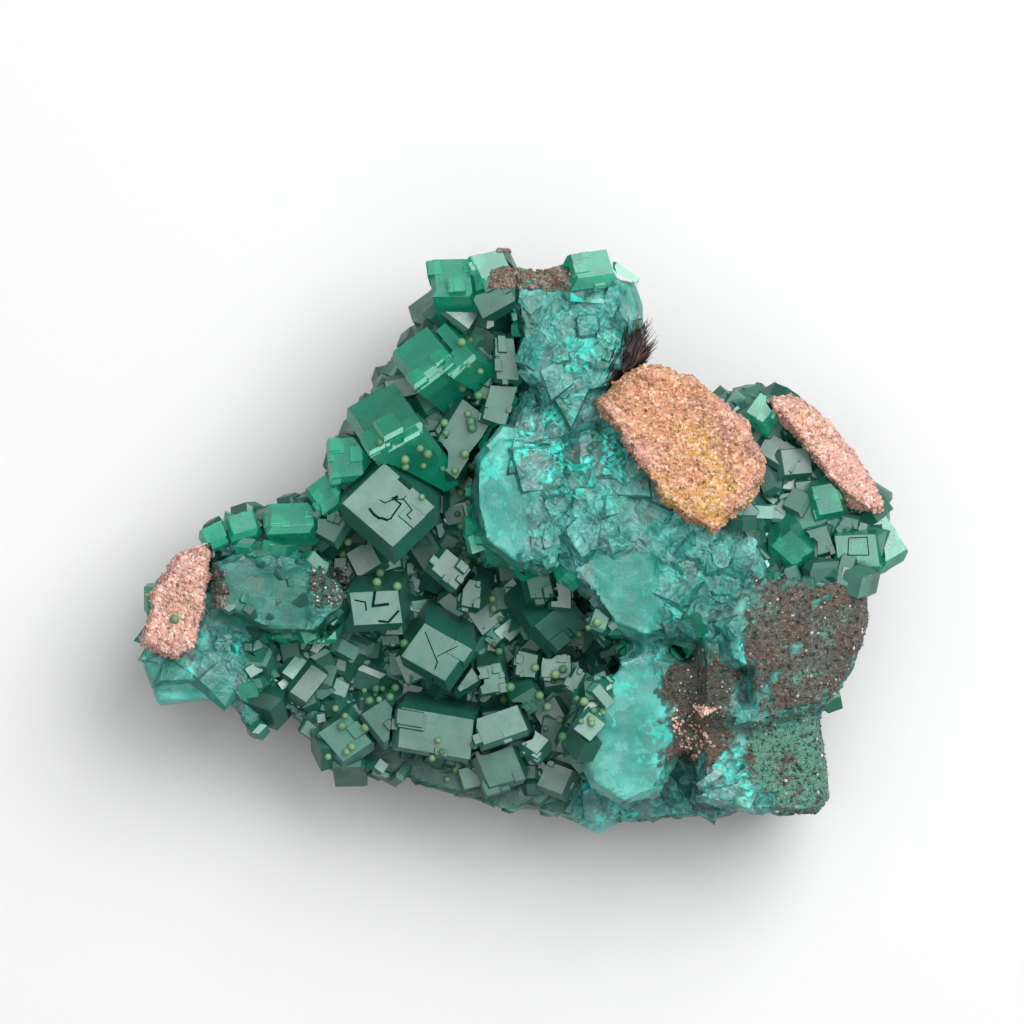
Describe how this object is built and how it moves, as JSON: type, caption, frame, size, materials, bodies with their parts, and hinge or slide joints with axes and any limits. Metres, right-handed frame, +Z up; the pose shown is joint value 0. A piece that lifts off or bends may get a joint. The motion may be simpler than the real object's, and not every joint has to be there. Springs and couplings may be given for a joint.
{
  "type": "dioptase specimen",
  "caption": "Cabinet specimen of emerald dioptase crystals in an open pocket of broken turquoise rock, with sandy orange-pink host rock caps, dark crusts and a dark needle tuft",
  "frame": {"origin": "on the floor, below the middle of the specimen's bounding box", "axes": "+X along the specimen's length towards the crusted side, +Y towards its crown, +Z up out of the crystal pocket"},
  "size_m": [0.077, 0.0578, 0.0318],
  "materials": {
    "matrix_rock": "broken, cleaved and vitreous turquoise dioptase, dark oxide crust in patches",
    "sandy_rock": "granular orange-pink sandy rock, dull",
    "dark_needles": "dark fibrous needles with a silky sheen",
    "emerald_crystal": "translucent emerald-green crystal with vitreous faces"
  },
  "bodies": {
    "root": {"matrix": "matrix_rock", "sand_cap_center": "sandy_rock", "sand_cap_right": "sandy_rock", "sand_cap_left": "sandy_rock", "needle_tuft": "dark_needles", "great_rhomb": "emerald_crystal", "rim_block_long": "emerald_crystal", "rim_block_pale": "emerald_crystal", "rim_block_tall": "emerald_crystal", "rim_cube": "emerald_crystal", "rim_cube_small": "emerald_crystal", "rim_lens": "emerald_crystal", "rim_crumb_a": "emerald_crystal", "rim_crumb_b": "emerald_crystal", "pocket_blade": "emerald_crystal", "crown_block_left": "emerald_crystal", "crown_block_tip": "emerald_crystal", "crown_shield": "emerald_crystal", "crown_far_block": "emerald_crystal", "crown_far_step": "emerald_crystal", "crown_flag": "emerald_crystal", "pocket_step_top": "emerald_crystal", "pocket_column": "emerald_crystal", "pocket_slab": "emerald_crystal", "pocket_slab_upper": "emerald_crystal", "hopper_crystal": "emerald_crystal", "lit_block": "emerald_crystal", "twin_block": "emerald_crystal", "twin_block_small": "emerald_crystal", "square_block": "emerald_crystal", "long_crystal": "emerald_crystal", "long_crystal_end": "emerald_crystal", "pale_block": "emerald_crystal", "arched_block": "emerald_crystal", "dark_diamond": "emerald_crystal", "lower_block": "emerald_crystal", "lower_petal": "emerald_crystal", "lower_knot": "emerald_crystal", "shard": "emerald_crystal", "deep_block": "emerald_crystal", "rose_step_a": "emerald_crystal", "rose_step_b": "emerald_crystal", "wall_crystal": "emerald_crystal", "wall_step": "emerald_crystal", "overhang_rhomb": "emerald_crystal", "upper_rhomb": "emerald_crystal", "upper_wedge": "emerald_crystal", "right_green": "emerald_crystal", "right_slanted": "emerald_crystal", "right_turquoise": "emerald_crystal", "right_prism": "emerald_crystal", "right_face": "emerald_crystal", "right_stepped": "emerald_crystal", "corner_crystal": "emerald_crystal"}
  },
  "joints": []
}
